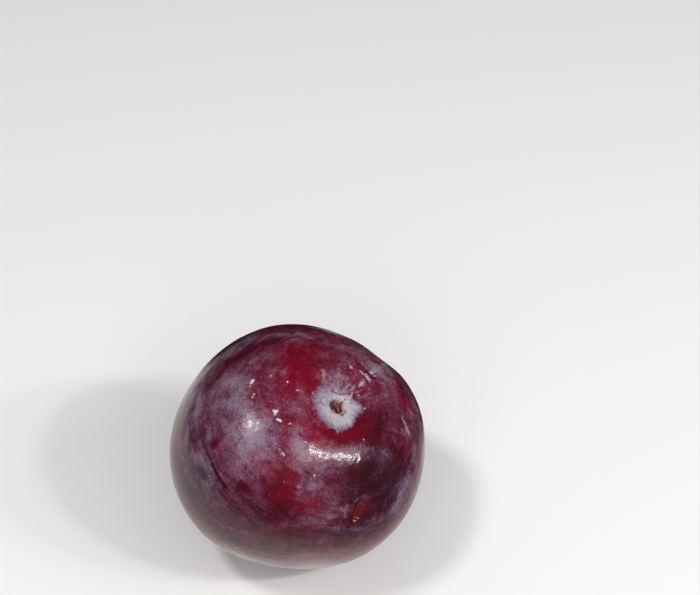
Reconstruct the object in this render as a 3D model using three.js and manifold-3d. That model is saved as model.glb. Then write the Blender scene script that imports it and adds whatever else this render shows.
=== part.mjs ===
// A ripe red-black plum with its stalk gone, resting on a small flat spot.
//
// The fruit grew as one piece, so it is one closed solid. Its skin lies at a distance from the middle of
// the fruit that is worked out for each direction: a round body with flattened shoulders, a few broad
// swells round the waist, the funnel-shaped stem cavity with the pit that the stalk tore out of, and the
// suture, the shallow valley that runs down one side from the cavity to the blossom end.
//
// Frame: millimetres, +Z up, with the origin on the surface that the fruit rests on, under its middle.
// The stem leans to the right (+X) and the front (-Y), and the suture runs down the right back side.

import * as THREE from 'three';
import { mergeVertices } from 'three/addons/utils/BufferGeometryUtils.js';
import Module from 'manifold-3d';

// ---- driving dimensions, in millimetres

const WAIST_RADIUS = 30.7;          // from the stem's axis to the skin at the fullest part
const STEM_HEIGHT = 26.5;           // from the middle up to the shoulders' level
const BLOSSOM_HEIGHT = 29.8;        // from the middle down to the blossom end
const SHOULDER_FULLNESS = 2.25;     // 2 is an ellipse, and more fills the shoulders out
const BLOSSOM_FULLNESS = 2.1;

const STEM_LEAN = [0.417, -0.278, 0.865];    // where the stem's axis points
const SUTURE_SIDE = [0.685, 0.539, 0.492];   // a direction on the suture's side of the axis

// broad swells round the waist: how many go round, how far each stands out, where one of them is in degrees
const SWELLS = [
  { count: 2, height: 0.92, crest: -42 },
  { count: 3, height: 0.22, crest: 44 },
  { count: 4, height: 0.40, crest: -18 },
  { count: 5, height: 0.20, crest: -24 },
];

const CAVITY_DEPTH = 2.6;           // stem cavity, below the shoulders' level
const CAVITY_RADIUS = 7.4;
const CAVITY_FLARE = 1.6;           // 1 is a pointed funnel and 2 a round bowl
const SCAR_DEPTH = 0.7;             // the pit that the stalk tore out of
const SCAR_RADIUS = 2.0;
const SCAR_FLARE = 4;

const SUTURE_DEPTH = 0.75;
const SUTURE_RADIUS = 5.0;          // half the valley's width
const SUTURE_FADE = 0.45;           // share of the depth lost by the blossom end
const VALLEY_FLARE = 2;

const BLOSSOM_DEPTH = 0.6;          // the dimple at the blossom end
const BLOSSOM_RADIUS = 3.2;

const FLAT_DEPTH = 0.6;             // how far the flat spot is cut into the round underside

const MERIDIANS = 72;               // facets round the stem's axis
const RINGS = 44;                   // facets from the stem to the blossom end
const RING_CROWDING = 1.25;         // 1 is even, and more draws the rings together towards the stem

const SKIN = { color: 0x5a1a2c, roughness: 0.38, metalness: 0 };

// ---- the skin, with the stem's axis along z and the suture on the x side

function roundReach(fromStem) {
  const upper = fromStem < Math.PI / 2;
  const height = upper ? STEM_HEIGHT : BLOSSOM_HEIGHT;
  const fullness = upper ? SHOULDER_FULLNESS : BLOSSOM_FULLNESS;
  const across = Math.abs(Math.sin(fromStem)) / WAIST_RADIUS;
  const along = Math.abs(Math.cos(fromStem)) / height;
  return (across ** fullness + along ** fullness) ** (-1 / fullness);
}

function swellHeight(fromStem, around) {
  let height = 0;
  for (const swell of SWELLS) {
    height += swell.height * Math.cos(swell.count * (around - THREE.MathUtils.degToRad(swell.crest)));
  }
  return height * Math.sin(fromStem) ** 2;
}

// the shape of every hollow: 1 in its middle, fading away past its radius
function hollow(distance, radius, flare) {
  return Math.exp(-((Math.abs(distance) / radius) ** flare));
}

function sutureDepth(fromStem, around, reach) {
  const across = reach * Math.sin(fromStem) * Math.atan2(Math.sin(around), Math.cos(around));
  const depth = SUTURE_DEPTH * Math.sin(fromStem) * (1 - SUTURE_FADE * fromStem / Math.PI);
  return depth * hollow(across, SUTURE_RADIUS, VALLEY_FLARE);
}

function skinPoint(fromStem, around) {
  const reach = roundReach(fromStem);
  const stemWay = reach * fromStem;
  const blossomWay = reach * (Math.PI - fromStem);
  const distance = reach + swellHeight(fromStem, around)
    - CAVITY_DEPTH * hollow(stemWay, CAVITY_RADIUS, CAVITY_FLARE)
    - SCAR_DEPTH * hollow(stemWay, SCAR_RADIUS, SCAR_FLARE)
    - sutureDepth(fromStem, around, reach)
    - BLOSSOM_DEPTH * hollow(blossomWay, BLOSSOM_RADIUS, VALLEY_FLARE);
  return new THREE.Vector3(
    Math.sin(fromStem) * Math.cos(around),
    Math.sin(fromStem) * Math.sin(around),
    Math.cos(fromStem),
  ).multiplyScalar(distance);
}

// one point at each end of the axis, with rings of points between them
function fruitGeometry() {
  const points = [skinPoint(0, 0)];
  for (let ring = 1; ring < RINGS; ring++) {
    const fromStem = Math.PI * (ring / RINGS) ** RING_CROWDING;
    for (let step = 0; step < MERIDIANS; step++) {
      points.push(skinPoint(fromStem, 2 * Math.PI * step / MERIDIANS));
    }
  }
  points.push(skinPoint(Math.PI, 0));

  const ringPoint = (ring, step) => 1 + (ring - 1) * MERIDIANS + step % MERIDIANS;
  const lastPoint = points.length - 1;
  const triangles = [];
  for (let step = 0; step < MERIDIANS; step++) {
    triangles.push(0, ringPoint(1, step), ringPoint(1, step + 1));
    for (let ring = 1; ring < RINGS - 1; ring++) {
      const a = ringPoint(ring, step);
      const b = ringPoint(ring + 1, step);
      const c = ringPoint(ring + 1, step + 1);
      const d = ringPoint(ring, step + 1);
      triangles.push(a, b, c, a, c, d);
    }
    triangles.push(lastPoint, ringPoint(RINGS - 1, step + 1), ringPoint(RINGS - 1, step));
  }

  const geometry = new THREE.BufferGeometry().setFromPoints(points);
  geometry.setIndex(triangles);
  return geometry;
}

// ---- leaning the fruit over, and cutting the flat spot

function leaning() {
  const stemAxis = new THREE.Vector3(...STEM_LEAN).normalize();
  const sutureAxis = new THREE.Vector3(...SUTURE_SIDE);
  sutureAxis.addScaledVector(stemAxis, -sutureAxis.dot(stemAxis)).normalize();
  const crossAxis = new THREE.Vector3().crossVectors(stemAxis, sutureAxis);
  return new THREE.Matrix4().makeBasis(sutureAxis, crossAxis, stemAxis);
}

const wasm = await Module();
wasm.setup();

function toSolid(geometry) {
  const bare = geometry.clone();
  bare.deleteAttribute('normal');
  bare.deleteAttribute('uv');
  const merged = mergeVertices(bare);
  return new wasm.Manifold(new wasm.Mesh({
    numProp: 3,
    vertProperties: new Float32Array(merged.attributes.position.array),
    triVerts: new Uint32Array(merged.index.array),
  }));
}

function toGeometry(solid) {
  const mesh = solid.getMesh();
  const geometry = new THREE.BufferGeometry();
  geometry.setAttribute('position', new THREE.BufferAttribute(mesh.vertProperties, 3));
  geometry.setIndex(new THREE.BufferAttribute(mesh.triVerts, 1));
  return geometry;
}

// the fruit, cut flat underneath and moved so that it stands on z = 0 with its middle over the origin
function restingGeometry() {
  const fruit = fruitGeometry().applyMatrix4(leaning());
  fruit.computeBoundingBox();
  const width = 4 * WAIST_RADIUS;
  const floor = new THREE.BoxGeometry(width, width, width);
  floor.translate(0, 0, fruit.boundingBox.min.z + FLAT_DEPTH - width / 2);

  const resting = toGeometry(toSolid(fruit).subtract(toSolid(floor)));
  resting.computeBoundingBox();
  const { min, max } = resting.boundingBox;
  resting.translate(-(min.x + max.x) / 2, -(min.y + max.y) / 2, -min.z);
  resting.computeVertexNormals();
  return resting;
}

const plum = new THREE.Mesh(restingGeometry(), new THREE.MeshStandardMaterial(SKIN));
plum.name = 'plum';

const group = new THREE.Group();
group.add(plum);

export default group;
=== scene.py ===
# A ripe red-black plum with its stalk gone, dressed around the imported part.
#
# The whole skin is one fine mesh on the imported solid's own formula, with the torn stalk scar, the crease,
# the nick, the scratches and the flecks of wax as real relief. What the skin wears, from bloom to bare
# crimson, is painted on its points as soft patches and strokes, and the material breaks those up.

import math

import bmesh
import bpy
import numpy as np
from mathutils import Matrix, Vector, noise


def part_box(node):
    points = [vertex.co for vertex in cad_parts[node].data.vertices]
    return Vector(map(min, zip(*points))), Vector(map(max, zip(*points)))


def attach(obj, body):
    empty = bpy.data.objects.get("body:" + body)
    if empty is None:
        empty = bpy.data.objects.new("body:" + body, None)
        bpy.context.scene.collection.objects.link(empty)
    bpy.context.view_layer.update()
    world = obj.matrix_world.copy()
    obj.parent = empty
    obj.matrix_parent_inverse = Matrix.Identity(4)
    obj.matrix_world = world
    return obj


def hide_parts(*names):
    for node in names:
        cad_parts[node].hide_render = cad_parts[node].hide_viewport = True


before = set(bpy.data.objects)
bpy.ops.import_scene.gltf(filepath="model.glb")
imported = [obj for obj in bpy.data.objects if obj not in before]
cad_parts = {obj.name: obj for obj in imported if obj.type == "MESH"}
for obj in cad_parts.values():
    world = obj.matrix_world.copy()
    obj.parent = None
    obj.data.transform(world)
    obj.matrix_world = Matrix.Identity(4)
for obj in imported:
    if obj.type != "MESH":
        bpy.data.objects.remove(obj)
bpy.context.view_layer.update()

MM = 0.001

# ---------------------------------------------------------------- camera

PHOTO_SIZE = (700, 595)             # pixels
FOCAL_LENGTH = 1737                 # pixels
SENSOR_WIDTH = 36                   # mm
LOOK_DOWN = math.radians(41)
PLUM_MIDDLE = np.array((0.0, 0.0, 29.0))   # mm, in the frame
PLUM_PIXEL = (298.1, 449.4)         # where the plum's middle shows
PLUM_DEPTH = 427                    # mm, along the camera's axis
CLIP_START = 0.01                   # metres

VIEW_AXIS = np.array((0.0, math.cos(LOOK_DOWN), -math.sin(LOOK_DOWN)))
VIEW_RIGHT = np.array((1.0, 0.0, 0.0))
VIEW_DOWN = np.cross(VIEW_AXIS, VIEW_RIGHT)


def pixel_ray(pixel):
    """The direction in which the camera sees a pixel, one long along the camera's axis."""
    across = (pixel[0] - PHOTO_SIZE[0] / 2) / FOCAL_LENGTH
    down = (pixel[1] - PHOTO_SIZE[1] / 2) / FOCAL_LENGTH
    return VIEW_AXIS + across * VIEW_RIGHT + down * VIEW_DOWN


CAMERA_PLACE = PLUM_MIDDLE - PLUM_DEPTH * pixel_ray(PLUM_PIXEL)


def make_camera():
    data = bpy.data.cameras.new("camera")
    data.sensor_width = SENSOR_WIDTH
    data.lens = FOCAL_LENGTH * SENSOR_WIDTH / PHOTO_SIZE[0]
    data.clip_start = CLIP_START
    camera = bpy.data.objects.new("camera", data)
    turn = Matrix((VIEW_RIGHT, -VIEW_DOWN, -VIEW_AXIS)).transposed()
    camera.matrix_world = Matrix.Translation(Vector(CAMERA_PLACE * MM)) @ turn.to_4x4()
    bpy.context.collection.objects.link(camera)
    bpy.context.scene.camera = camera


make_camera()

# ---------------------------------------------------------------- the fruit's shape, in mm, as in the solid

WAIST_RADIUS = 30.7
STEM_HEIGHT = 26.5
BLOSSOM_HEIGHT = 29.8
SHOULDER_FULLNESS = 2.25
BLOSSOM_FULLNESS = 2.1
STEM_LEAN = (0.417, -0.278, 0.865)
SUTURE_SIDE = (0.685, 0.539, 0.492)
SWELLS = ((2, 0.92, -42), (3, 0.22, 44), (4, 0.40, -18), (5, 0.20, -24))   # count, height, crest in degrees
CAVITY_DEPTH, CAVITY_RADIUS, CAVITY_FLARE = 2.6, 7.4, 1.6
SCAR_DEPTH, SCAR_RADIUS, SCAR_FLARE = 0.7, 2.0, 4
SUTURE_DEPTH, SUTURE_RADIUS, SUTURE_FADE = 0.75, 5.0, 0.45
BLOSSOM_DEPTH, BLOSSOM_RADIUS = 0.6, 3.2
VALLEY_FLARE = 2
FLAT_DEPTH = 0.6
SKIN_INSET = 0.06                   # keeps the fine skin and its relief inside the faceted solid's box
SEAM_DEPTH, SEAM_WIDTH = 0.05, 0.30     # of the fine line at the bottom of the suture
SEAM_START, SEAM_RAMP = 19.0, 7.0   # where on its way from the stem it begins, and how slowly
BLOSSOM_SCAR_RISE, BLOSSOM_SCAR_RADIUS = 0.08, 0.75     # of the corky spot at the blossom's end


def unit(vector):
    vector = np.asarray(vector, float)
    return vector / np.linalg.norm(vector, axis=-1, keepdims=True)


def leaning():
    """The fruit's own axes as columns: towards the suture, across it, and along the stem's axis."""
    stem = unit(STEM_LEAN)
    suture = np.array(SUTURE_SIDE)
    suture = unit(suture - suture.dot(stem) * stem)
    return np.stack((suture, np.cross(stem, suture), stem), axis=1)


LEANING = leaning()


def hollow(distance, radius, flare):
    return np.exp(-((np.abs(distance) / radius) ** flare))


def round_reach(from_stem):
    upper = from_stem < math.pi / 2
    height = np.where(upper, STEM_HEIGHT, BLOSSOM_HEIGHT)
    fullness = np.where(upper, SHOULDER_FULLNESS, BLOSSOM_FULLNESS)
    across = np.abs(np.sin(from_stem)) / WAIST_RADIUS
    along = np.abs(np.cos(from_stem)) / height
    return (across ** fullness + along ** fullness) ** (-1 / fullness)


def reach(from_stem, around):
    """How far the skin is from the fruit's middle in a direction."""
    level = round_reach(from_stem)
    swell = sum(height * np.cos(count * (around - math.radians(crest))) for count, height, crest in SWELLS)
    suture_depth = SUTURE_DEPTH * np.sin(from_stem) * (1 - SUTURE_FADE * from_stem / math.pi)
    return (level + swell * np.sin(from_stem) ** 2
            - CAVITY_DEPTH * hollow(level * from_stem, CAVITY_RADIUS, CAVITY_FLARE)
            - SCAR_DEPTH * hollow(level * from_stem, SCAR_RADIUS, SCAR_FLARE)
            - suture_depth * hollow(level * np.sin(from_stem) * around, SUTURE_RADIUS, VALLEY_FLARE)
            - BLOSSOM_DEPTH * hollow(level * (math.pi - from_stem), BLOSSOM_RADIUS, VALLEY_FLARE)
            - SKIN_INSET)


def angles(ways):
    """The angles from the stem's axis, and round it from the suture, of directions in the fruit's axes."""
    return np.arccos(np.clip(ways[..., 2], -1, 1)), np.arctan2(ways[..., 1], ways[..., 0])


def places_along(ways):
    """How far directions come out from the stem, the suture's line and the blossom's end, on the skin."""
    from_stem, around = angles(ways)
    level = round_reach(from_stem)
    return level * from_stem, np.abs(level * np.sin(from_stem) * around), level * (math.pi - from_stem)


def seam(ways):
    """How deep in the suture's fine line directions come out, from 0 to 1."""
    from_stem, from_suture, _ = places_along(ways)
    begun = np.clip((from_stem - SEAM_START) / SEAM_RAMP, 0, 1)
    return begun * hollow(from_suture, SEAM_WIDTH, VALLEY_FLARE)


def blossom_scar(ways):
    return hollow(places_along(ways)[2], BLOSSOM_SCAR_RADIUS, SCAR_FLARE)


def leaned(ways):
    """The skin's points in those directions, turned as the fruit leans, from its middle."""
    return (reach(*angles(ways))[..., None] * ways) @ LEANING.T


# ---------------------------------------------------------------- the skin's mesh

SKIN_CELLS = 88                     # cells along each side of the six patches that cover the fruit
SEAT_CELLS = 40                     # the same for the coarser one that finds where the fruit sits
SHEET_MARGIN = 0.01                 # bare share at each edge of a patch's part of the texture map
RAY_DEPTHS = np.arange(380, 440, 0.1)   # mm along the camera's axis, from before the fruit to inside it


def cube_ball(cells):
    """A mesh of unit directions in six square patches, each a grid with its own part of the texture map."""
    ball = bmesh.new()
    sheet = ball.loops.layers.uv.new("OFBake")
    steps = np.tan(np.linspace(-1, 1, cells + 1) * math.pi / 4)
    corners = {}

    def corner(way):
        key = tuple(round(value, 6) for value in way)
        if key not in corners:
            corners[key] = ball.verts.new(way)
        return corners[key]

    for side in range(6):
        axis, sign = side // 2, 1 - 2 * (side % 2)
        first, second = (axis + 1) % 3, (axis + 2) % 3
        grid = []
        for up in steps:
            row = []
            for over in steps:
                way = np.zeros(3)
                way[axis], way[first], way[second] = sign, sign * over, up
                row.append(corner(unit(way)))
            grid.append(row)
        for i in range(cells):
            for j in range(cells):
                cell = ball.faces.new((grid[i][j], grid[i][j + 1], grid[i + 1][j + 1], grid[i + 1][j]))
                cell.smooth = True
                for loop, (over, up) in zip(cell.loops, ((j, i), (j + 1, i), (j + 1, i + 1), (j, i + 1))):
                    loop[sheet].uv = ((side % 3 + SHEET_MARGIN + over / cells * (1 - 2 * SHEET_MARGIN)) / 3,
                                      (side // 3 + SHEET_MARGIN + up / cells * (1 - 2 * SHEET_MARGIN)) / 2)
    return ball


def ball_ways(ball):
    return unit(np.array([vert.co[:] for vert in ball.verts]))


def seat():
    """Where the fruit's middle is in the frame: over the solid's middle, with the flat spot on z = 0."""
    points = leaned(ball_ways(cube_ball(SEAT_CELLS)))
    low, high = (np.array(corner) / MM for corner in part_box("plum"))
    middle = (low + high - points.min(axis=0) - points.max(axis=0)) / 2
    middle[2] = low[2] - points[:, 2].min() - FLAT_DEPTH
    return middle


FRUIT_MIDDLE = seat()


def skin(ways):
    """The skin's points in the frame, flat where the fruit rests."""
    points = leaned(ways) + FRUIT_MIDDLE
    points[:, 2] = np.maximum(points[:, 2], 0)
    return points


def ways_of(points):
    """The directions in which points lie from the fruit's middle, in the fruit's own axes."""
    return unit((points - FRUIT_MIDDLE) @ LEANING)


def skin_at(pixel):
    """The point of the skin that the camera sees at a pixel, or the nearest one to it past the outline."""
    points = CAMERA_PLACE + RAY_DEPTHS[:, None] * pixel_ray(pixel)
    ways = ways_of(points)
    height = np.linalg.norm(points - FRUIT_MIDDLE, axis=1) - reach(*angles(ways))
    inside = np.nonzero(height < 0)[0]
    first = inside[0] if len(inside) else np.argmin(height)
    return skin(ways[first:first + 1])[0]


SOFT, CRISP = 2, 3                  # how sharply bands and strokes end
PATCH_DEPTH = 2                     # mm: how much further a patch reaches inwards than along its length


def image_direction(turn, normal):
    """The direction along the skin that shows at an angle in the picture."""
    way = math.cos(math.radians(turn)) * VIEW_RIGHT - math.sin(math.radians(turn)) * VIEW_DOWN
    return unit(way - way.dot(normal) * normal)


def patches(points, marks):
    """The sum of soft oval patches at each point."""
    total = np.zeros(len(points))
    for x, y, length, width, turn, strength in marks:
        centre = skin_at((x, y))
        normal = unit(centre - FRUIT_MIDDLE)
        along = image_direction(turn, normal)
        offset = points - centre
        spread = (((offset @ along) / length) ** 2 + ((offset @ np.cross(normal, along)) / width) ** 2
                  + ((offset @ normal) / (length + PATCH_DEPTH)) ** 2)
        total += strength / 100 * np.exp(-spread)
    return total


def line_distance(points, route):
    """How far points are from a line through some pixels of the picture, laid on the skin."""
    places = np.array([skin_at(pixel) for pixel in route])
    nearest = np.full(len(points), np.inf)
    for start, end in zip(places, places[1:]):
        step = end - start
        share = np.clip((points - start) @ step / step.dot(step), 0, 1)
        nearest = np.minimum(nearest, np.linalg.norm(points - start - share[:, None] * step, axis=1))
    return nearest


def strokes(points, marks, edge=CRISP):
    """The sum of strokes, or of bands when their edge is soft, at each point."""
    total = np.zeros(len(points))
    for *route, width, strength in marks:
        total += strength / 100 * hollow(line_distance(points, route), width, edge)
    return total


# ---------------------------------------------------------------- what the skin wears
#
# A patch is (pixel's x and y, half length, half width, turn, strength), and a band or stroke is (pixels of
# its route, half width, strength). Pixels are the picture's, lengths are mm on the skin, turns are degrees
# counter-clockwise from its right, and strengths are percent.

BLOOM_BASE = 0.10                   # how much of the skin's pale wax is left, from 0 to 1
BLOOM = (
    # the wide lilac patch on the left
    (232, 390, 9, 5, 60, 50), (256, 430, 6.5, 4.5, 70, 68), (250, 460, 7, 4.2, 60, 12),
    (222, 378, 5.5, 3, 45, 22), (276, 452, 5.5, 4, 60, 18), (262, 358, 6, 2.6, 30, 10),
    (291, 388, 4, 2.5, 80, -4), (197, 458, 3.4, 2, -70, 26), (207, 474, 4.5, 2.6, -55, 22),
    (300, 434, 5, 4, 80, 6),
    # the rubbed but hazy shoulder below the stem
    (330, 455, 10, 3, 0, 28), (316, 484, 4.2, 3.2, 60, 38), (318, 516, 6, 2.6, 10, 26),
    (344, 508, 4.5, 2.4, 40, 20), (386, 456, 3, 2.4, 40, 24), (372, 498, 6, 1.8, 15, 10),
    (401, 492, 5.5, 2.4, 70, 10), (407, 424, 4.5, 1.8, -60, 26), (392, 390, 6.5, 2.6, -75, 32),
    # up the suture from the stem
    (346, 368, 5, 2.8, 60, 18), (380, 369, 5.5, 2.2, 38, 36), (362, 384, 4, 2.4, 40, 22),
    (378, 402, 4, 2.6, 40, 26), (300, 335, 9, 2.8, 0, 26),
    # bare bands
    (300, 368, 7.5, 3.6, 88, -16), (312, 398, 6, 2, 70, -16), (340, 438, 6, 1.8, 5, -32),
    (374, 420, 6.5, 4.2, 50, -17), (404, 408, 4, 1.8, -70, -22), (403, 456, 5, 1.5, 85, -20),
    (286, 486, 5, 3, 75, -22), (372, 479, 7.5, 4.5, 20, -8), (245, 490, 1.8, 1.4, 20, -40),
    (209, 448, 4.5, 2.4, 80, 22), (268, 508, 5, 2.6, -20, -10), (262, 488, 3.5, 2.5, 80, 14),
    (300, 537, 14, 3, 0, -4), (373, 524, 3.5, 2.5, -45, -12), (323, 546, 5, 2.5, 0, -10),
    (202, 412, 6, 2.6, 75, 22), (184, 460, 12, 5, 85, 8), (232, 472, 7, 4, -50, 12),
    (338, 379, 3.8, 2.2, 10, 40), (311, 402, 3, 1.8, 10, 34), (322, 390, 3, 2, 40, 30),
    (231, 432, 5.5, 2.2, 85, 36), (196, 414, 6.5, 1.8, 80, 26), (395, 425, 4, 2.4, 85, 16),
    # the lower half
    (303, 474, 3.4, 2.4, 80, 32), (301, 505, 3, 2.6, 80, -16), (240, 489, 3.6, 2, -15, -14),
    (325, 499, 3, 3, 0, 22), (325, 519, 4, 2, 0, -22), (350, 520, 3.5, 2.2, 10, -22),
    (351, 501, 3, 2, 30, 12), (376, 508, 4, 2.6, 30, -16), (399, 496, 7, 2.6, 60, 32),
    (393, 484, 5, 2.4, 70, 16), (350, 532, 9, 3.4, 15, 12), (300, 412, 3, 2.6, 0, 6),
    (252, 445, 4, 2.6, 60, 8), (257, 384, 4, 2.2, 80, -22), (222, 378, 4, 2, 60, -12),
    # (301, 444) is partly a painted highlight: pale bloom along the left edge of the right lamp's reflection
    (241, 399, 2.6, 2, 80, 12), (209, 446, 4, 1.8, 80, 10), (301, 444, 2.2, 1.8, 0, 26),
    (352, 430, 4.5, 1.8, 10, -16), (375, 453, 2.6, 2.2, 0, 16), (270, 457, 5, 2, 0, -8),
    (364, 480, 5, 4, 60, -12), (331, 478, 2.4, 2, 0, -12), (240, 482, 3, 2.6, 0, 12),
    (290, 333, 12, 1.8, 3, 24),
)
BLOOM_SPOTS = (                     # smaller patches, with crisper edges
    (270, 383, 2.4, 1.8, 80, 16), (285, 407, 3, 1.8, 80, 18), (300, 395, 2.6, 1.6, 80, 12),
    (195, 395, 3.4, 1.8, 75, 38), (255, 371, 2.6, 2, 60, -14), (215, 443, 2, 1.2, 20, -27),
    (360, 419, 2.2, 1.6, 0, -12), (278, 434, 2.2, 2.4, 0, -8), (268, 443, 2, 1.6, 0, 10),
    (338, 468, 3.2, 1.4, 0, 14), (390, 443, 2.2, 2, 0, -14), (300, 492, 2.2, 1.6, 0, 6),
    (315, 503, 2.2, 1.8, 0, -20), (345, 503, 2.2, 1.6, 0, -20), (383, 503, 3, 2, 30, 14),
    (255, 503, 2.6, 1.8, -20, 14), (217, 533, 4.5, 2.2, -45, -24), (233, 545, 4, 2, -40, -16),
    (300, 479, 2.2, 1.6, 0, -32), (270, 502, 2.6, 1.6, 0, -14), (283, 449, 1.6, 3, 0, -20),
    # (299, 449) and (313, 430) are partly painted highlight: pale bloom where the right lamp's reflection
    # lies
    (299, 449, 2.2, 3.4, 0, 20), (270, 407, 2, 1.6, 0, -14), (337, 434, 4.6, 1.5, 0, -28),
    (313, 430, 2, 1.5, 0, 12), (322, 382, 3.4, 2.4, 0, 22), (236, 350, 3.4, 2, 35, 20),
    (240, 394, 4, 1.8, 85, 14), (211, 436, 2, 1.2, 80, 14), (228, 432, 2, 1.2, 80, 16),
    (362, 446, 2.6, 1.4, 0, 12), (300, 395, 1.6, 1.4, 0, -12), (360, 468, 2.6, 1.7, 0, -40),
    (285, 419, 2, 1.6, 0, -18), (330, 480, 2, 1.6, 0, -14), (315, 467, 1.8, 1.4, 0, -12),
    (345, 491, 1.8, 1.4, 0, 12), (390, 362, 3, 1.2, -45, -22), (225, 395, 1.8, 1.2, 60, -24),
    (300, 467, 2, 1.5, 0, -16), (331, 467, 2, 1.5, 0, -16), (225, 438, 2.2, 1.8, 80, -8),
    (240, 480, 2.2, 1.5, 0, 10), (256, 493, 2.2, 1.4, 0, -10), (270, 480, 1.8, 1.6, 0, 5),
    (239, 493, 2.4, 1.6, -20, 14), (225, 466, 2, 1.5, 0, 12), (406, 489, 3.4, 1.6, 65, 22),
    (375, 456, 2.2, 1.6, 0, 10), (331, 491, 2, 1.5, 0, -10), (333, 514, 3, 1.6, 0, -12),
    (337, 528, 3.6, 1.5, 0, 10), (194, 399, 3.2, 1.5, 75, 14), (285, 492, 2.6, 1.6, 0, -20),
    (350, 431, 4.6, 1.4, 5, -18), (330, 446, 2.6, 1.8, 0, -20), (315, 514, 2.4, 1.5, 0, -8),
    (360, 492, 2.2, 1.5, 0, -10), (284, 531, 6, 2, 0, -7), (307, 539, 3.6, 1.8, 0, -10),
    (213, 526, 3.4, 1.8, -50, -10), (231, 353, 3.6, 1.8, 40, 12), (272, 372, 2.6, 3, 0, 6),
    (242, 384, 2.2, 1.8, 0, 8), (375, 419, 2, 1.5, 0, -12), (285, 420, 2, 1.5, 0, -10),
    (226, 446, 2, 1.6, 0, -6), (202, 463, 3.2, 1.8, -75, -10), (247, 404, 3, 1.6, 60, 6),
    # along the fruit's edge
    (412, 418, 2.6, 1.5, -60, 26), (404, 422, 1.8, 1.2, -60, -16), (415, 448, 2.6, 1.4, 85, 20),
    (385, 365, 2.8, 1.8, -45, 26), (357, 349, 2.8, 1.6, -30, 24), (327, 341, 2.8, 1.1, -10, -22),
    (330, 333, 3, 1.4, -10, 16), (297, 336, 2.4, 1, 0, -12), (298, 342, 2.4, 1, 0, 14),
    (271, 355, 2.4, 1.6, 20, 16), (246, 363, 2, 1.4, 30, 12), (209, 364, 2.4, 1.4, 45, -18),
    (200, 395, 2.6, 1.2, 75, 28), (210, 399, 2, 1.2, 75, -10), (190, 421, 2.6, 1.2, 80, 22),
    (199, 423, 2.2, 1.2, 80, -12), (196, 448, 2.2, 1.2, 85, -10), (358, 548, 3, 1.6, 30, -12),
    (380, 527, 2.4, 1.6, 40, 12),
    # small corrections all over
    (294, 436, 1.8, 1.5, 80, 22), (300, 426, 1.8, 1.4, 0, -18), (305, 416, 1.6, 1.4, 0, 16),
    (190, 463, 2.4, 1.3, 85, -16), (202, 450, 2.2, 1.2, 85, 22), (356, 389, 1.8, 1.4, 0, -20),
    (294, 468, 1.8, 1.5, 0, -20), (409, 405, 2.2, 1.2, -60, -18), (314, 337, 2.4, 1.1, -5, -18),
    (286, 340, 2.4, 1.1, 10, -14), (381, 412, 1.8, 1.4, 0, -20), (413, 424, 2.2, 1.2, -70, 14),
    (413, 457, 2.4, 1.3, 85, 18), (252, 366, 2, 1.4, 30, -20), (236, 367, 2, 1.4, 40, -14),
    (311, 510, 2, 1.5, 0, -18), (200, 430, 3, 1.2, 80, 20), (218, 395, 1.8, 1.2, 75, -14),
    (277, 397, 2, 1.5, 70, -18), (266, 413, 1.8, 1.4, 70, -16), (237, 425, 1.8, 1.4, 70, -16),
    (338, 385, 2, 1.4, 0, 14), (302, 398, 1.6, 1.4, 0, -14), (274, 448, 1.8, 1.4, 0, 14),
    (286, 447, 1.4, 1.4, 0, -14), (275, 466, 2, 1.4, 0, -18), (368, 366, 3, 1.4, -40, 14),
    (394, 382, 2.2, 1.4, -50, 16),
)

RED_BASE = 0.44                     # how bright the red is under the bloom, from maroon to crimson
RED = (
    (300, 370, 9, 6, 85, 30), (322, 398, 7, 4, 60, 20), (343, 438, 7, 2.6, 5, 16),
    (288, 484, 6, 4.5, 75, 10), (312, 500, 4, 3, 70, 12), (362, 378, 7, 4.5, 40, 30),
    (403, 402, 6, 3, -55, 20), (276, 410, 9, 6, 70, 22), (245, 470, 8, 5, 60, 14), (308, 436, 6, 4, 60, 28),
    (363, 512, 2, 1.4, 60, 22), (384, 412, 2.6, 2, 50, -8), (380, 436, 6.5, 3.4, -50, -10),
    (370, 478, 8.5, 5, 20, -40), (200, 485, 9, 5.5, -65, -20), (270, 506, 5, 2.5, -20, -12),
    (300, 540, 15, 4, 0, -14), (186, 455, 11, 4.5, 85, -22), (255, 516, 9, 4, -25, -14),
    (360, 532, 8, 3, 20, -10), (218, 496, 9, 4, -55, -18), (388, 516, 7, 3.4, 45, -16),
    (390, 428, 4, 2.4, 85, -10), (406, 412, 5, 1.6, -70, -10), (298, 548, 16, 4, 0, -14),
    (300, 412, 4, 3, 0, -10), (242, 484, 4.4, 3.4, 0, -24), (277, 492, 5, 3.4, 60, -8),
    (364, 476, 5, 4.5, 60, -10), (374, 509, 3.4, 2.2, 20, -14), (400, 498, 6.5, 2.6, 60, -14),
    (355, 430, 5, 2, 10, -8), (225, 536, 8, 3, -45, -22),
)

# routes that several layers share
RIM_BAND = ((211, 385), (215.8, 378.4), (226, 366.2), (238, 357.2), (248, 351.6),
            (266, 342.6), (290, 337))
RIM_STRIP = ((206, 376), (213, 367), (222, 357.4), (231, 348.6), (246, 339.4))
RIGHT_RIM = ((393, 366), (410, 392), (419, 420), (421, 450), (415, 484), (402, 512))
FOOT_RIM = ((240, 556), (268, 565), (300, 568), (332, 565), (350, 560))
LOW_RIGHT = ((400, 466), (391, 485), (378, 500), (362, 516))
SCRATCH_SIDE = ((217, 445), (219, 455), (223, 466), (229, 476))

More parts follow.
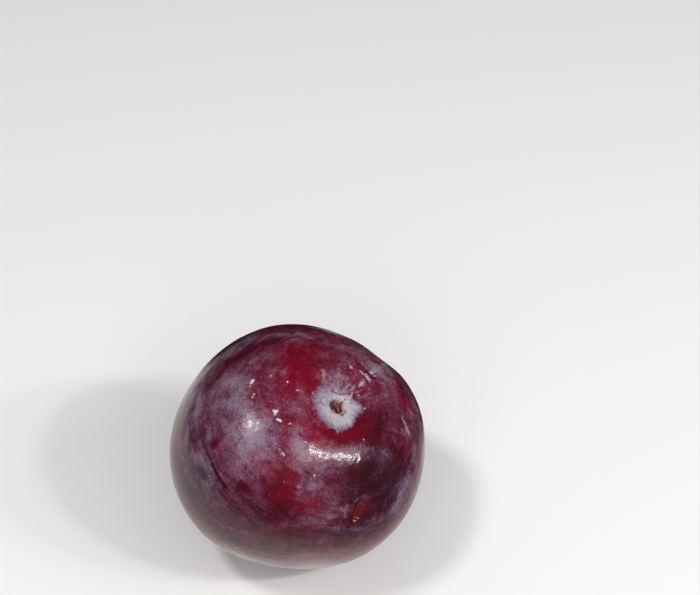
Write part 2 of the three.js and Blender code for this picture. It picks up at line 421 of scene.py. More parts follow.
BLOOM_BANDS = (
    (*RIM_BAND, 1.1, -6), (*RIM_STRIP, 2.8, 40),
    ((206, 396), (211, 386), (216, 378), (226, 367), (234, 361), 1.5, -18), (*RIGHT_RIM, 4, 14),
    # the band along FOOT_RIM is pale bloom, and partly a painted reflection of the bright table
    (*FOOT_RIM, 5, 30), ((300, 384), (300, 408), (301, 430), 1.6, 16),
    ((296, 519), (318, 526), (345, 527), (366, 524), 3.2, 20), (*LOW_RIGHT, 4, -10),
    ((415, 404), (420.5, 422), (424, 444), 3, 14), (*SCRATCH_SIDE, 0.8, -8),
    ((268, 466), (262, 482), (270, 494), 0.8, -18), ((322, 470), (335, 480), (341, 496), 1.2, 14),
    ((282, 366), (284, 384), (287, 398), 0.9, 8), ((350, 343), (362, 351), (372, 361), 1, 6),
    ((229, 527), (238, 530), (247, 532), 0.5, 30), ((271, 545), (278, 546), (284, 545), 0.45, 24),
    ((203, 503), (213, 518), (222, 528), 1, 16), ((187, 430), (186, 452), (190, 476), 0.8, 14),
    ((264, 467), (282, 465), (299, 467), 0.8, 16), ((300, 469), (301, 482), (299, 494), 0.8, 14),
)
WAX_STROKES = (                     # streaks of bloom by the suture and on the right
    ((350.4, 366), (351.2, 368.2), 0.44, 30), ((360.6, 371.4), (364.2, 373.6), 0.4, 40),
    ((366.4, 375.6), (369.6, 379.4), 0.55, 50), ((361, 384.4), (363.6, 381), 0.55, 50),
    ((358, 387), (360.4, 384.6), 0.34, 40), ((370.6, 372.8), (377.4, 369.2), 0.5, 50),
    ((377, 369.4), (382, 366), (386.2, 364.2), 0.45, 45), ((372.6, 368), (377.4, 363.6), 0.35, 30),
    ((378, 372.6), (382.8, 370.2), 0.35, 35), ((380.2, 376.4), (385, 376), 0.3, 30),
    ((343.6, 391.6), (348.8, 384.2), 0.28, 45), ((349.6, 391.6), (354.8, 385.4), 0.3, 50),
    ((355.4, 392.8), (362.6, 389.6), 0.28, 40), ((357, 398.4), (368.8, 393.6), 0.3, 35),
    ((401.6, 416.8), (404.4, 423.6), 0.36, 35), ((404.6, 422), (408.6, 433.6), 0.55, 24),
    ((407.6, 427.6), (409.8, 436.4), 0.36, 30), ((399.4, 425.6), (402.8, 433.2), 0.26, 35),
)
RED_BANDS = (
    (*RIM_BAND, 1.3, -14), (*RIM_STRIP, 1.4, -40), (*SCRATCH_SIDE, 0.9, 4), (*LOW_RIGHT, 4, -22),
)

HALO_PIXEL = (333.8, 409.0)         # the ring of thick pale bloom round the stalk's scar
HALO_RADIUS = 6.1
HALO_FADE = 4.0                     # over which its edge breaks up
HALO_CLEAN = (                      # where it is palest, and where it thins
    (346, 420, 3.2, 2.2, 40, 30), (326, 416, 3, 1.6, -40, 22), (330, 384, 4.5, 1.6, 10, -16),
    (344, 426, 2.2, 1.3, 10, 14), (349, 429, 1.4, 1, 0, -20), (332, 431, 2, 1.2, 0, -10),
    (313, 398, 2.4, 1.2, 20, 16), (356, 396, 2, 1.2, 50, -35), (357, 407, 1.8, 1.2, 0, 36),
    (358, 421, 2.2, 1.6, 50, -35), (329, 401, 2.4, 1.4, 80, -26), (315, 409, 2.4, 1.6, 80, -16),
    (352, 410, 2.4, 2, 0, 22), (353, 399, 1.6, 1, 30, 24),
)

DUST_AND_REFLECTION = (((238, 557), (262, 565), (290, 569), (312, 568), 6.5, 86),)     # dust rubbed off the table, and partly a painted reflection of the bright table along the fruit's foot

# single marks
FLECKS_AND_GLINTS = (                          # dried white specks, and two painted highlights in the right lamp's reflection
    ((252.9, 380.3), (251.2, 383.2), 0.36, 100), ((250, 386.4), (250.2, 386.8), 0.18, 70),
    ((254.2, 394.2), (254.3, 394.4), 0.19, 80), ((252.4, 397.1), (252.5, 397.3), 0.2, 80),
    ((273.6, 411), (277.2, 411), 0.26, 100), ((275.2, 412), (275, 414.6), 0.24, 100),
    ((277.2, 419.4), (280.4, 420.8), 0.22, 100), ((287.3, 381.9), (287.4, 382), 0.22, 100),
    ((297.1, 390.2), (297.6, 390.3), 0.2, 60), ((283.3, 399.6), (283.7, 399.8), 0.16, 40),
    ((289.3, 423.8), (290.8, 423.2), 0.17, 50), ((239.4, 427.6), (239.5, 427.7), 0.18, 80),
    ((270.4, 376.3), (271.4, 375.8), 0.22, 40), ((244.9, 408.7), (245.1, 408.9), 0.15, 40),
    ((279.4, 449), (280, 449.4), 0.18, 50), ((282.6, 453), (284, 455.2), 0.22, 60),
    ((314.1, 475.4), (314.6, 475.6), 0.18, 90), ((312.8, 392.8), (313.4, 393.4), 0.22, 50),
    # the specks at (309.6, 445.4) and (305.2, 441.8) are painted highlights in the right lamp's reflection
    ((365.2, 408.2), (363.8, 408.6), 0.18, 50), ((309.6, 445.4), (311.2, 446.2), 0.17, 70),
    ((305.2, 441.8), (305.6, 442.4), 0.14, 60), ((363.2, 439.4), (363.5, 439.8), 0.14, 70),
    ((328, 330.2), (328.8, 330.4), 0.18, 60),
)

WAX_CHIPS = (                       # scraped-up bits of wax by the suture and on the right
    ((350.8, 366.4), (351.1, 368.3), 0.27, 70), ((360.8, 371.6), (362.8, 374.2), (366.2, 374.7), 0.18, 65),
    ((366.5, 376.5), (368.6, 379.2), 0.32, 90), ((369, 379.8), (369.9, 381.8), 0.22, 45),
    ((370.8, 372.9), (372.4, 372.4), 0.36, 80), ((374, 375.9), (375.5, 376.1), 0.22, 60),
    ((374.6, 371.2), (376.4, 369.9), 0.2, 45), ((361, 383.2), (363.4, 381.8), 0.2, 65),
    ((360, 385.8), (361.9, 384.1), 0.2, 60), ((362.6, 387), (364.4, 385.6), 0.16, 35),
    ((358, 395.7), (359, 395.3), 0.22, 50), ((368, 389.8), (369.4, 388.8), 0.16, 40),
    ((402, 418), (403.6, 421.6), 0.16, 40), ((404.9, 422.6), (406, 425.2), 0.15, 35),
    ((406, 427.2), (407.2, 430.4), 0.22, 50), ((407.8, 431.8), (409, 434), 0.16, 40),
    ((408.9, 430.8), (409.8, 433.6), 0.12, 30), ((405, 429.6), (406.4, 433), 0.13, 40),
)

SCRATCHES = (                       # healed scratches and cracks, darker than the skin round them
    ((202.6, 441), (205.4, 447.4), (208.2, 453.8), (212.4, 464.4), 0.3, 80),
    ((212.4, 464.4), (216.8, 473.4), (221, 480.2), (225.4, 486.4), 0.48, 100),
    ((225.4, 486.4), (232.2, 493.4), (239, 503.6), 0.3, 60),
    ((234, 446.7), (238, 442), (241.7, 437.2), 0.17, 70),
    ((355.1, 359.2), (358.8, 363.4), (363, 367.2), (366.4, 371.4), 0.28, 100),
    ((366.4, 371.4), (369.9, 374.6), (371.8, 378.4), (375.6, 378.6), 0.34, 100),
    ((341.4, 389.6), (343.4, 385.4), (344, 381.8), 0.22, 70), ((349, 388), (350.2, 388.8), 0.24, 60),
    ((319.8, 398.6), (321.2, 401), (323, 405.2), 0.18, 50), ((320.2, 401.8), (321.6, 404.4), 0.16, 40),
    ((338.3, 428), (338.8, 428.1), 0.2, 80), ((356.4, 415.6), (357.2, 416.4), 0.18, 60),
    ((286, 416.4), (291, 418.2), (295.4, 419.4), 0.3, 60),
)

WRINKLES = (                        # thin purple folds in the halo
    ((331.4, 391), (335.2, 392.4), (340, 394), (345, 393.8), (350.4, 392), 0.3, 85),
    ((325.6, 415.2), (330.6, 417.6), 0.16, 40),
)

BLEMISHES = (                       # small corky spots
    ((322.6, 371.2), (324.2, 372.6), (323.4, 375), 0.46, 90), ((323.8, 377.4), (324, 380.6), 0.45, 45),
    ((298, 486.6), (298.8, 487.4), 0.26, 50), ((216.4, 451.4), (218, 453.4), 0.36, 22),
    ((189.8, 479.6), (190.4, 482.6), 0.22, 45), ((284, 481.4), (284.4, 482.2), 0.18, 50),
    ((260.6, 376.8), (261.6, 378.6), 0.3, 22), ((296, 333.2), (300.4, 332.6), 0.3, 35),
)

PALE_SCARS = (                      # thin healed scars
    ((293.4, 407.4), (298.6, 409.6), (303, 414.6), 0.15, 35),
    ((298, 408), (303.6, 411.4), (307.6, 417.2), 0.15, 28),
    ((346.8, 505.6), (344.6, 511), (345.2, 517), 0.34, 26), ((357.8, 497.8), (355.2, 501.6), 0.16, 32),
)

# the torn scar where the stalk came away, layer over layer
SCAR_BED = (
    ((331.8, 402.6), (337, 402.2), 0.75, 60), ((332, 405.8), (336.6, 406.6), 0.95, 95),
    ((333.6, 410.4), (338.2, 411.6), 0.95, 95), ((339.6, 406), (341.2, 411.2), 0.7, 85),
    ((343.6, 413.8), (341.6, 415.4), 0.3, 70), ((344.8, 410.8), (346, 412.8), 0.26, 60),
)
SCAR_UMBER = (
    ((330.8, 404.6), (331.6, 407.4), 0.42, 100), ((333.4, 405.6), (336.4, 407.8), 0.46, 100),
    ((336.2, 409), (336.6, 412), 0.32, 100), ((336.6, 412.4), (339.4, 413.4), 0.28, 90),
    ((343.9, 400.5), (345.9, 398.9), 0.15, 60),
)
SCAR_CRIMSON = (
    ((331.2, 403.4), (332.8, 400.8), 0.24, 70), ((334, 403), (335.8, 400.8), 0.24, 70),
    ((337, 405.2), (337.8, 404.8), 0.3, 100), ((339.6, 406.8), (340.6, 410.8), 0.42, 100),
    ((331.4, 408.6), (333.2, 408.2), 0.26, 80), ((340.2, 404.8), (342.4, 402.2), 0.28, 90),
    ((341.6, 415.4), (343.4, 414.4), 0.2, 90),
)
SCAR_ORANGE = (
    ((333.4, 410.2), (333.9, 411.2), 0.4, 100), ((333.2, 412.4), (333.8, 413), 0.28, 60),
)
SCAR_CREAM = (
    ((338.1, 408), (338.2, 411.2), 0.14, 60), ((335.2, 404.2), (335.8, 403.6), 0.16, 40),
    ((343.6, 410.6), (342.8, 412.4), (341.4, 413.6), 0.18, 90),
    ((343.8, 407.2), (344.4, 403.8), (347, 399.8), (350.2, 396.2), (352, 393.2), 0.25, 80),
)

# the nick in the skin low on the right, with its torn flesh
NICK = (
    ((358.2, 501.4), (355.2, 509), (352.6, 517), (350.9, 524.4), 0.26, 100),
    ((358.4, 504.8), (356.6, 511), (354.2, 519), 0.4, 85), ((360.6, 508), (361, 512.6), (357, 518), 0.5, 55),
)
NICK_EDGE = (
    ((357.4, 502.4), (356.3, 504.6), (354.3, 510.4), (352.5, 515.6), (351.3, 520.6), (351.2, 524.4),
     0.26, 100),
    ((357.6, 506.6), (359.2, 510.2), 0.14, 50), ((355.6, 512.8), (358.6, 513.6), 0.12, 50),
)
# painted highlights: small glints on the nick's torn flesh
NICK_GLINTS = (
    ((353.7, 520.9), (355.4, 520.8), 0.16, 100), ((357.7, 518.2), (358.5, 518.6), 0.13, 80),
    ((355.2, 517.4), (355.6, 517.5), 0.12, 50),
)

# the colours of the skin and of what lies on it
MAROON = (0.03, 0.0055, 0.0108, 1)
CRIMSON = (0.178, 0.0024, 0.0142, 1)
BLOOM_LAVENDER = (0.258, 0.202, 0.268, 1)
BLOOM_VIOLET = (0.183, 0.094, 0.19, 1)
HALO_WHITE = (0.445, 0.42, 0.448, 1)
HALO_PURPLE = (0.205, 0.146, 0.222, 1)
LENTICEL_TAN = (0.3, 0.15, 0.09, 1)
# pale grey of dust, and of a painted reflection of the bright table at the foot
DUST_AND_REFLECTION_GREY = (0.4, 0.345, 0.342)
# white of the dried specks, and of two painted highlights
FLECK_AND_GLINT_WHITE = (0.62, 0.6, 0.59)
SCRATCH_RED = (0.042, 0.0025, 0.008)
WRINKLE_PURPLE = (0.14, 0.045, 0.11)
CORK_TAN = (0.225, 0.19, 0.155)
SCAR_PINK = (0.3, 0.19, 0.18)
BED_MAROON = (0.125, 0.034, 0.032)
UMBER = (0.028, 0.012, 0.006)
DEEP_RED = (0.11, 0.003, 0.006)
TORN_ORANGE = (0.33, 0.105, 0.035)
TORN_CREAM = (0.38, 0.335, 0.285)
# colour of the painted highlights in the nick
GLINT_PINK = (0.52, 0.33, 0.3)
FLESH_RED = (0.105, 0.01, 0.013)
EDGE_RED = (0.055, 0.001, 0.002)
WAX_WHITE = (0.44, 0.39, 0.44)

# what is marked on the skin, bottom layer first: the marks, their colour, and how far they stand out, in mm
MARKS = (
    (SCRATCHES, SCRATCH_RED, -0.035),
    (WRINKLES, WRINKLE_PURPLE, -0.05),
    (BLEMISHES, CORK_TAN, 0.04),
    (PALE_SCARS, SCAR_PINK, 0.02),
    (SCAR_BED, BED_MAROON, -0.10),
    (SCAR_UMBER, UMBER, -0.30),
    (SCAR_CRIMSON, DEEP_RED, -0.12),
    (SCAR_ORANGE, TORN_ORANGE, 0.40),
    (SCAR_CREAM, TORN_CREAM, 0.14),
    (NICK, FLESH_RED, -0.20),
    (NICK_EDGE, EDGE_RED, -0.10),
    (WAX_CHIPS, WAX_WHITE, 0.03),
    # painted highlights in the nick
    (NICK_GLINTS, GLINT_PINK, 0.08),
    # dried specks, and two painted highlights
    (FLECKS_AND_GLINTS, FLECK_AND_GLINT_WHITE, 0.06),
)

# ---------------------------------------------------------------- fine relief, in mm outwards

LUMP_HEIGHT, LUMP_SIZE = 0.05, 4.5
DIMPLE_HEIGHT, DIMPLE_SIZE = 0.030, 1.4
PATCH_RUFFLES = ((7.0, 2.4), (2.2, 0.9))    # size and reach of what makes the patches' edges ragged
BAND_RUFFLES = ((3.0, 0.8), (1.0, 0.3))
MARK_RUFFLES = ((0.7, 0.18), (0.3, 0.07))
SEAM_RUFFLES = ((6.0, 0.6), (1.2, 0.2))
RUFFLE_SEED = 2
noise.seed_set(RUFFLE_SEED)         # without it the ruffled edges would differ from run to run

SCAR_PLACES = (((331.8, 402.6), 2.0), ((339.6, 406.8), 2.6))    # in the torn scar, for a finer mesh
MARK_STEP = 3                       # pixels between the places along a mark that get a finer mesh
MARK_MARGIN = 0.5                   # mm: how far it goes past the mark's edge
REFINEMENTS = ((1.7, 0.8), (1.0, 0.0))      # for each halving: times that reach, and mm from the suture


def lumpiness(points, size):
    return np.array([noise.noise(Vector(point / size)) for point in points])


def ruffled(points, ruffles):
    """The points shifted about, so that what is painted on them gets ragged edges."""
    moved = points.copy()
    for size, distance in ruffles:
        moved += distance * np.array([noise.noise_vector(Vector(point / size)) for point in points])
    return moved


def relief(points):
    rise = LUMP_HEIGHT * lumpiness(points, LUMP_SIZE) + DIMPLE_HEIGHT * lumpiness(points, DIMPLE_SIZE)
    ragged = ruffled(points, MARK_RUFFLES)
    rise += BLOSSOM_SCAR_RISE * blossom_scar(ways_of(ragged))
    rise -= SEAM_DEPTH * seam(ways_of(ruffled(points, SEAM_RUFFLES)))
    for marks, _, height in MARKS:
        rise += height * np.minimum(strokes(ragged, marks), 1)
    return rise


def fine_places():
    """The points on the skin that need a finer mesh, and how far round each it goes, in mm."""
    places = [(skin_at(pixel), radius) for pixel, radius in SCAR_PLACES]
    for marks, _, _ in MARKS:
        for *route, width, _ in marks:
            for start, end in zip(route, route[1:]):
                for share in np.linspace(0, 1, int(math.dist(start, end) / MARK_STEP) + 2):
                    pixel = np.array(start) * (1 - share) + np.array(end) * share
                    places.append((skin_at(tuple(pixel)), width + MARK_MARGIN))
    return places


def refine(ball, wider, from_seam):
    """Halves the mesh's cells near the fine marks and the suture's line."""
    ways = ball_ways(ball)
    points = skin(ways)
    _, from_suture, from_blossom = places_along(ways)
    near = (from_suture < from_seam) | (from_blossom < BLOSSOM_SCAR_RADIUS * wider)
    for place, radius in fine_places():
        near |= np.linalg.norm(points - place, axis=1) < radius * wider
    ball.verts.ensure_lookup_table()
    edges = [edge for edge in ball.edges if near[edge.verts[0].index] and near[edge.verts[1].index]]
    bmesh.ops.subdivide_edges(ball, edges=edges, cuts=1, use_grid_fill=True)
    ball.verts.index_update()


def skin_mesh():
    """The fruit's mesh, with the points and directions of the smooth skin that its relief stands on."""
    ball = cube_ball(SKIN_CELLS)
    ball.verts.index_update()
    for wider, from_seam in REFINEMENTS:
        refine(ball, wider, from_seam)
    ways = ball_ways(ball)
    points = skin(ways)
    raised = points + relief(points)[:, None] * unit(points - FRUIT_MIDDLE)
    raised[:, 2] = np.where(points[:, 2] > 0, np.maximum(raised[:, 2], 0), 0)
    for vert, place in zip(ball.verts, raised * MM):
        vert.co = place
    mesh = bpy.data.meshes.new("plum_skin")
    ball.to_mesh(mesh)
    ball.free()
    return mesh, points, ways


# ---------------------------------------------------------------- painting the skin's points

CALM_FOOT = 0.40                    # how much of the mottling there is at the foot
CALM_BELOW, CALM_ABOVE = 9, 27      # mm: the heights between which it grows to the full
GRAIN_STRETCH = 3.5                 # how much longer than wide the streaks of bloom are
GRAIN_RING = 12.0                   # mm: how wide a ring of streaks closes in on the stem
RAYS_BASE = 0.35                    # how strong the streaks are far from the stem
RAYS_RADIUS = 17                    # mm from the stem over which they weaken
SEAM_BARE, SEAM_DARK = 0.24, 0.18   # how much bloom and red the suture's fine line lacks

# the sides that the picture doesn't show
HIDDEN_FROM, HIDDEN_FULL = 0.3, -0.2        # how far the skin faces the camera where they begin and are full
HIDDEN_SIZE, HIDDEN_SMALL_SIZE = 9.0, 4.05  # mm: of their patches
HIDDEN_SHAPE = (1.0, 1.0, 0.7)      # makes the patches taller than wide
HIDDEN_BLOTCHES, HIDDEN_SMALL_BLOTCHES = 0.55, 0.28     # how much the patches vary the bloom
HIDDEN_BLOOM, SUTURE_BLOOM = 0.17, 0.30     # how much more bloom there is all over, and in the suture
HIDDEN_DARK, HIDDEN_RED_BLOTCHES = 0.08, 0.42           # how much less red there is, and how much it varies
RED_ASIDE = 27.0                    # mm: moves the red's patches off the bloom's
FRECKLES, HIDDEN_FRECKLES = 0.25, 0.80      # how strong the lenticels are


def paint(mesh, name, values, kind="FLOAT", field="value"):
    layer = mesh.attributes.new(name, kind, "POINT")
    layer.data.foreach_set(field, np.asarray(values, np.float32).ravel())


def tint(points):
    """The single marks as one colour layer, whose strength is in its alpha."""
    # dust, and a painted reflection of the bright table along the foot
    colour = strokes(points, DUST_AND_REFLECTION, SOFT)[:, None] * np.array((*DUST_AND_REFLECTION_GREY, 1.0))
    ragged = ruffled(points, MARK_RUFFLES)
    layers = [(blossom_scar(ways_of(ragged)), CORK_TAN)]
    layers += [(np.minimum(strokes(ragged, marks), 1), shade) for marks, shade, _ in MARKS]
    for cover, shade in layers:
        cover = cover[:, None]
        colour = colour * (1 - cover) + np.array((*shade, 1.0)) * cover
    return colour


def paint_wear(mesh, points, ways):
    """Paints what the skin wears: how much bloom, red, halo and so on there is at each point."""
    ragged = ruffled(points, PATCH_RUFFLES)
    slightly_ragged = ruffled(points, BAND_RUFFLES)
    line = seam(ways_of(ruffled(points, SEAM_RUFFLES)))
    facing = unit(points - FRUIT_MIDDLE) @ unit(CAMERA_PLACE - FRUIT_MIDDLE)
    hidden = np.clip((HIDDEN_FROM - facing) / (HIDDEN_FROM - HIDDEN_FULL), 0, 1)
    angle, around = angles(ways)
    from_stem, from_suture, _ = places_along(ways)

    blotches = (HIDDEN_BLOTCHES * lumpiness(ragged * HIDDEN_SHAPE, HIDDEN_SIZE)
                + HIDDEN_SMALL_BLOTCHES * lumpiness(ragged, HIDDEN_SMALL_SIZE))
    in_suture = SUTURE_BLOOM * hollow(from_suture, SUTURE_RADIUS, VALLEY_FLARE)
    paint(mesh, "bloom", BLOOM_BASE + patches(ragged, BLOOM) + patches(slightly_ragged, BLOOM_SPOTS)
          + strokes(slightly_ragged, BLOOM_BANDS, SOFT) + strokes(ruffled(points, MARK_RUFFLES), WAX_STROKES)
          + hidden * (HIDDEN_BLOOM + blotches + in_suture) - SEAM_BARE * line)
    red_blotches = HIDDEN_RED_BLOTCHES * lumpiness(ragged * HIDDEN_SHAPE + RED_ASIDE, HIDDEN_SIZE)
    paint(mesh, "red", RED_BASE + patches(ragged, RED) + strokes(slightly_ragged, RED_BANDS, SOFT)
          - hidden * (HIDDEN_DARK + red_blotches) - SEAM_DARK * line)
    paint(mesh, "freckles", FRECKLES + (HIDDEN_FRECKLES - FRECKLES) * hidden)
    above_foot = np.clip((points[:, 2] - CALM_BELOW) / (CALM_ABOVE - CALM_BELOW), 0, 1)
    paint(mesh, "unrest", CALM_FOOT + (1 - CALM_FOOT) * np.maximum(above_foot, hidden))
    from_halo = np.linalg.norm(slightly_ragged - skin_at(HALO_PIXEL), axis=1)
    paint(mesh, "halo", 0.5 + (HALO_RADIUS - from_halo) / HALO_FADE + patches(points, HALO_CLEAN))
    paint(mesh, "tint", tint(points), "FLOAT_COLOR", "color")
    ring = GRAIN_RING + (1 - GRAIN_RING / WAIST_RADIUS) * round_reach(angle) * np.sin(angle)
    grain = np.stack((ring * np.cos(around), ring * np.sin(around), from_stem / GRAIN_STRETCH), axis=1)
    paint(mesh, "grain", grain, "FLOAT_VECTOR", "vector")
    paint(mesh, "rays", RAYS_BASE + (1 - RAYS_BASE) * hollow(from_stem, RAYS_RADIUS, VALLEY_FLARE))


def make_skin():
    mesh, points, ways = skin_mesh()
    paint_wear(mesh, points, ways)
    piece = bpy.data.objects.new("plum_skin", mesh)
    bpy.context.collection.objects.link(piece)
    return piece


# ---------------------------------------------------------------- the skin's material

MIX_COLOURS, MIX_RESULT = (6, 7), 2     # where a mix node has its colours


class Shader:
    """Builds a material's nodes: each call adds one and gives back its output."""

    def __init__(self, name):
        self.material = bpy.data.materials.new(name)
        self.material.use_nodes = True
        self.tree = self.material.node_tree
        self.surface = self.tree.nodes["Principled BSDF"]

    def put(self, socket, value):
        if isinstance(value, bpy.types.NodeSocket):
            self.tree.links.new(value, socket)
        else:
            socket.default_value = value

    def node(self, kind, inputs, **settings):
        """Adds a node with its settings and then its inputs, which go by name or number."""
        node = self.tree.nodes.new("ShaderNode" + kind)
        for name, value in settings.items():
            setattr(node, name, value)
        for name, value in inputs.items():
            self.put(node.inputs[name], value)
        return node.outputs

    def attribute(self, name, output="Fac"):
        return self.node("Attribute", {}, attribute_name=name)[output]

    def place(self):
        return self.node("TexCoord", {})["Object"]

    def noise(self, place, scale, detail, roughness, distortion=0.0):
        """Noise round 0, mostly within 0.25 either way."""
        outputs = self.node("TexNoise", {"Vector": place, "Scale": scale, "Detail": detail,
                                         "Roughness": roughness, "Distortion": distortion})
        return self.math("SUBTRACT", outputs["Fac"], 0.5)

    def stretched(self, place, by):
        return self.node("VectorMath", {0: place, 1: by}, operation="MULTIPLY")["Vector"]

    def length(self, place):
        return self.node("VectorMath", {0: place}, operation="LENGTH")["Value"]

    def spots(self, place, scale):
        """The distance to the nearest of many scattered points, and a random number for each."""
        outputs = self.node("TexVoronoi", {"Vector": place, "Scale": scale})
        return outputs["Distance"], outputs["Color"]

    def math(self, operation, first, second):
        return self.node("Math", {0: first, 1: second}, operation=operation)[0]

    def times(self, first, second):
        return self.math("MULTIPLY", first, second)

    def ease(self, value, low, high):
        """From 0 where the value is low to 1 where it is high, with soft ends."""
        limits = {"Value": value, "From Min": low, "From Max": high}
        return self.node("MapRange", limits, interpolation_type="SMOOTHSTEP")["Result"]

    def mix(self, share, first, second, blend="MIX"):
        inputs = {"Factor": share, MIX_COLOURS[0]: first, MIX_COLOURS[1]: second}
        return self.node("Mix", inputs, data_type="RGBA", blend_type=blend)[MIX_RESULT]

    def bump(self, height, distance):
        return self.node("Bump", {"Height": height, "Distance": distance})["Normal"]

    def blend(self, *terms):
        """The sum of value times weight over the terms, where a plain number or value is added as it is."""
        total = None
        for term in terms:
            part = self.times(*term) if isinstance(term, tuple) else term
            total = part if total is None else self.math("ADD", total, part)
        return total

    def weighted(self, layers, weights, *others):
        return self.blend(*((layers[name], weight) for name, weight in weights.items()), *others)


BLACK = (0, 0, 0, 1)
RUB_STRETCH = (0.28, 0.28, 3.5)     # turns the streaks of bloom into rub marks that run round the fruit

# scale, detail, roughness and distortion of each noise: in the grain, or per metre of the fruit
GRAIN_NOISES = {"streak": (0.62, 5, 0.7, 0.8), "fibre": (1.9, 3, 0.65, 0.5)}
RUB = (0.45, 5, 0.7, 0.6)
PLACE_NOISES = {"fine": (2100, 2, 0.6), "medium": (560, 4, 0.66, 0.8), "broad": (130, 4, 0.6, 1),
                "waves": (360, 2, 0.5), "ripples": (1000, 2, 0.6)}

# how much of each noise breaks up the bloom, the red and the halo
BLOOM_WEAR = {"streak": 1.0, "fibre": 0.6, "rub": 0.9, "medium": 0.3, "broad": 0.6}
RED_WEAR = {"medium": 0.6, "streak": 0.7, "fibre": 0.5, "rub": 0.6, "broad": 0.6}
HALO_WEAR = {"streak": 0.6, "fibre": 0.6, "rub": 0.3, "fine": 0.4, "medium": 0.9}
BLOOM_GRIT, THICK_BLOOM_GRIT = 0.3, 0.8     # how much the fine noise does everywhere and where bloom is thick
HALO_STREAKS = 0.8                  # how far the streaks reach into the white of the halo
LAVENDER_CLOUDS = 0.8               # how much the broad noise turns violet bloom to lavender

# the values between which each layer goes from none to full, and how well it covers
BLOOM_RANGE, BLOOM_COVER = (-0.1, 1.1), 0.85
RED_RANGE = (0.0, 1.0)
HALO_RANGE, HALO_COVER = (0.30, 0.75), 0.88
HALO_WHITE_RANGE = (0.60, 1.45)
LAVENDER_RANGE = (0.05, 0.75)
LENTICELS, LENTICEL_EDGE, LENTICEL_CHANCE = 520, (0.13, 0.05), (0.3, 0.9)   # per metre, size and how many

SKIN_ROUGHNESS, ROUGHNESS = 0.17, {"bloom": 0.10, "halo": 0.36, "fine": 0.12}
SPECULAR, COAT, COAT_ROUGHNESS = 0.25, 0.16, 0.09
GRIT = {"fine": 0.35, "streak": 0.5, "bloom": 0.5, "halo": 0.5}
SKIN_BUMP, SKIN_BUMP_HEIGHT = {"grit": 0.16, "waves": 0.7, "ripples": 0.25}, 0.10 * MM
COAT_BUMP, COAT_BUMP_HEIGHT = {"waves": 1.0, "ripples": 0.40}, 0.08 * MM


def skin_noises(shader, place):
    grain, rays = shader.attribute("grain", "Vector"), shader.attribute("rays")
    noises = {name: shader.noise(place, *settings) for name, settings in PLACE_NOISES.items()}
    for name, settings in GRAIN_NOISES.items():
        noises[name] = shader.times(shader.noise(grain, *settings), rays)
    noises["rub"] = shader.noise(shader.stretched(grain, RUB_STRETCH), *RUB)
    return noises


def skin_layers(shader, place):
    """The noises, and how much bloom, red and halo they leave, from 0 to 1, by name."""
    layers = skin_noises(shader, place)
    fine, unrest = layers["fine"], shader.attribute("unrest")
    wear = shader.weighted(layers, BLOOM_WEAR)
    bloom = shader.blend(shader.attribute("bloom"), (wear, unrest))
    bloom = shader.blend(bloom, (fine, BLOOM_GRIT), (shader.times(fine, bloom), THICK_BLOOM_GRIT))
    ripeness = shader.weighted(layers, RED_WEAR)
    red = shader.blend(shader.attribute("red"), (ripeness, unrest))
    halo = shader.weighted(layers, HALO_WEAR, shader.attribute("halo"))
    halo_white = shader.blend(halo, (layers["streak"], HALO_STREAKS))
    layers["bloom"] = shader.ease(bloom, *BLOOM_RANGE)
    layers["red"] = shader.ease(red, *RED_RANGE)
    layers["halo"] = shader.ease(halo, *HALO_RANGE)
    layers["halo_white"] = shader.ease(halo_white, *HALO_WHITE_RANGE)
    layers["grit"] = shader.weighted(layers, GRIT)
    return layers


def skin_colour(shader, place, layers):
    """From below: the red, the bloom, the lenticels, the stalk's halo and the single marks."""
    colour = shader.mix(layers["red"], MAROON, CRIMSON)
    lavender = shader.blend(layers["bloom"], (layers["broad"], LAVENDER_CLOUDS))
    wax = shader.mix(shader.ease(lavender, *LAVENDER_RANGE), BLOOM_VIOLET, BLOOM_LAVENDER)
    colour = shader.mix(shader.times(layers["bloom"], BLOOM_COVER), colour, wax)
    distance, chance = shader.spots(place, LENTICELS)
    shape, chosen = shader.ease(distance, *LENTICEL_EDGE), shader.ease(chance, *LENTICEL_CHANCE)
    lenticel = shader.times(shader.times(shape, chosen), shader.attribute("freckles"))
    colour = shader.mix(lenticel, colour, LENTICEL_TAN)
    halo_colour = shader.mix(layers["halo_white"], HALO_PURPLE, HALO_WHITE)
    colour = shader.mix(shader.times(layers["halo"], HALO_COVER), colour, halo_colour)
    colour = shader.mix(shader.attribute("tint", "Alpha"), colour, BLACK)
    return shader.mix(1.0, colour, shader.attribute("tint", "Color"), "ADD")


def skin_material():
    shader = Shader("plum_skin")
    place = shader.place()
    layers = skin_layers(shader, place)
    surface = shader.surface.inputs
    shader.put(surface["Base Color"], skin_colour(shader, place, layers))
    shader.put(surface["Roughness"], shader.weighted(layers, ROUGHNESS, SKIN_ROUGHNESS))
    surface["Specular IOR Level"].default_value = SPECULAR
    surface["Coat Weight"].default_value = COAT
    surface["Coat Roughness"].default_value = COAT_ROUGHNESS
    for name, weights, height in (("Normal", SKIN_BUMP, SKIN_BUMP_HEIGHT),
                                  ("Coat Normal", COAT_BUMP, COAT_BUMP_HEIGHT)):
        shader.put(surface[name], shader.bump(shader.weighted(layers, weights), height))
    return shader.material


piece = make_skin()
piece.data.materials.append(skin_material())
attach(piece, "root")
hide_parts("plum")

# ---------------------------------------------------------------- the studio

FLOOR_SIZE = 3000                   # mm
FLOOR_GREY = (0.86, 0.855, 0.842, 1)
FLOOR_ROUGHNESS = 0.7


def square(half):
    return (-half, -half, 0), (half, -half, 0), (half, half, 0), (-half, half, 0)


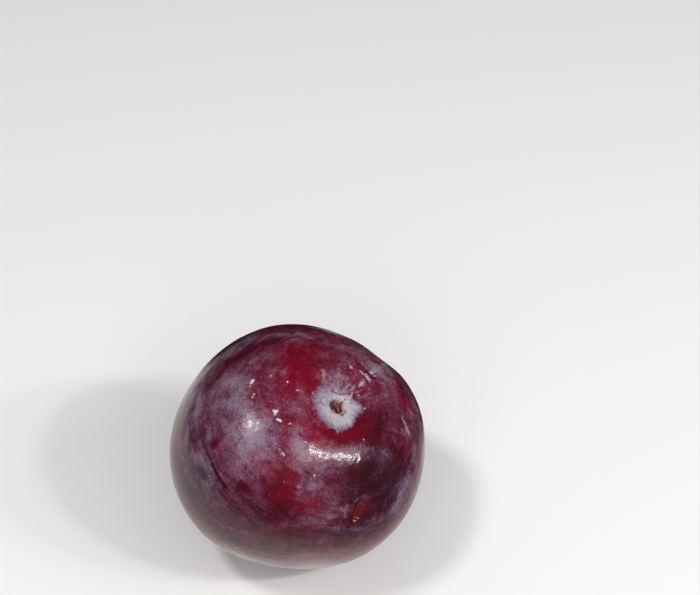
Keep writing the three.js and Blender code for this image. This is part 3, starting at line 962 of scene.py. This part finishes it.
def make_sheet(name, corners, colour):
    """A flat dull thing of the studio, from its four corners in mm."""
    mesh = bpy.data.meshes.new(name)
    mesh.from_pydata([Vector(corner) * MM for corner in corners], [], [(0, 1, 2, 3)])
    sheet = bpy.data.objects.new(name, mesh)
    bpy.context.collection.objects.link(sheet)
    shader = Shader(name)
    shader.surface.inputs["Base Color"].default_value = colour
    shader.surface.inputs["Specular IOR Level"].default_value = 0.0
    mesh.materials.append(shader.material)
    return sheet, shader


def make_floor():
    floor, shader = make_sheet("floor", square(FLOOR_SIZE / 2), FLOOR_GREY)
    shader.surface.inputs["Roughness"].default_value = FLOOR_ROUGHNESS


# Dark cards that only the skin's gloss sees, like those that keep a bright table out of a shiny thing. One
# lies just over the floor and is clear round the plum; two stand behind it and are clear towards their edges.
CARDS = (       # name, middle, the way it faces, half width, and how far out it is clear and solid, in mm
    ("card_table", (-70, 60, 1), None, 1400, 112, 165),
    ("card_right", (36, 40, 30), 48, 38, 37, 21),
    ("card_back", (-16, 64, 28), 104, 36, 35, 20),
)


def card_corners(middle, facing, half):
    """A card's corners from its middle: it lies down, or stands and faces an angle round the plum."""
    if facing is None:
        return square(half)
    across = half * np.array((-math.sin(math.radians(facing)), math.cos(math.radians(facing)), 0))
    down, up = np.array((0, 0, -min(half, middle[2]))), np.array((0, 0, half))
    return across + down, -across + down, -across + up, across + up


def make_cards():
    for name, middle, facing, half, clear, solid in CARDS:
        card, shader = make_sheet(name, card_corners(middle, facing, half), BLACK)
        card.location = Vector(middle) * MM
        from_middle = shader.length(shader.place())
        shader.put(shader.surface.inputs["Alpha"], shader.ease(from_middle, clear * MM, solid * MM))
        card.visible_camera = False
        card.visible_diffuse = False
        card.visible_shadow = False


LAMPS = (       # name, way there from the plum (right, up, to the camera), metres, size, watts, in the gloss
    ("lamp_left", (-0.385, 0.50, 0.77), 0.9, (0.16, 0.12), 2.5, True),
    ("lamp_right", (0.535, 0.11, 0.80), 0.9, (0.90, 0.21), 2.0, True),
    ("lamp_core_left", (0.56, 0.150, 0.77), 0.89, (0.080, 0.048), 1.4, True),
    ("lamp_core_middle", (0.745, 0.172, 0.77), 0.89, (0.060, 0.036), 0.30, True),
    ("lamp_core_right", (0.86, 0.168, 0.77), 0.89, (0.095, 0.030), 0.9, True),
    ("lamp_front", (-0.10, -0.22, 1.0), 1.2, (1.0, 0.5), 4.4, False),
)


def make_lamps():
    target = Vector(FRUIT_MIDDLE * MM)
    back = unit(CAMERA_PLACE - FRUIT_MIDDLE)
    side = unit(np.cross((0, 0, 1), back))
    up = np.cross(back, side)
    for name, way, distance, (width, height), power, glossy in LAMPS:
        data = bpy.data.lights.new(name, "AREA")
        data.shape, data.size, data.size_y, data.energy = "RECTANGLE", width, height, power
        lamp = bpy.data.objects.new(name, data)
        offset = Vector(unit(way[0] * side + way[1] * up + way[2] * back)) * distance
        lamp.location = target + offset
        lamp.rotation_euler = offset.to_track_quat("Z", "Y").to_euler()
        lamp.visible_glossy = glossy
        bpy.context.collection.objects.link(lamp)


WORLD_WHITE, WORLD_STRENGTH = (1, 1, 1, 1), 0.31


def make_world():
    """Soft light from all round, from surroundings too dark to show in the skin's gloss."""
    world = bpy.data.worlds.new("studio")
    world.use_nodes = True
    world.node_tree.nodes["Background"].inputs["Color"].default_value = WORLD_WHITE
    world.node_tree.nodes["Background"].inputs["Strength"].default_value = WORLD_STRENGTH
    world.cycles_visibility.glossy = False
    bpy.context.scene.world = world
    bpy.context.scene.view_settings.view_transform = "Standard"


make_floor()
make_cards()
make_lamps()
make_world()
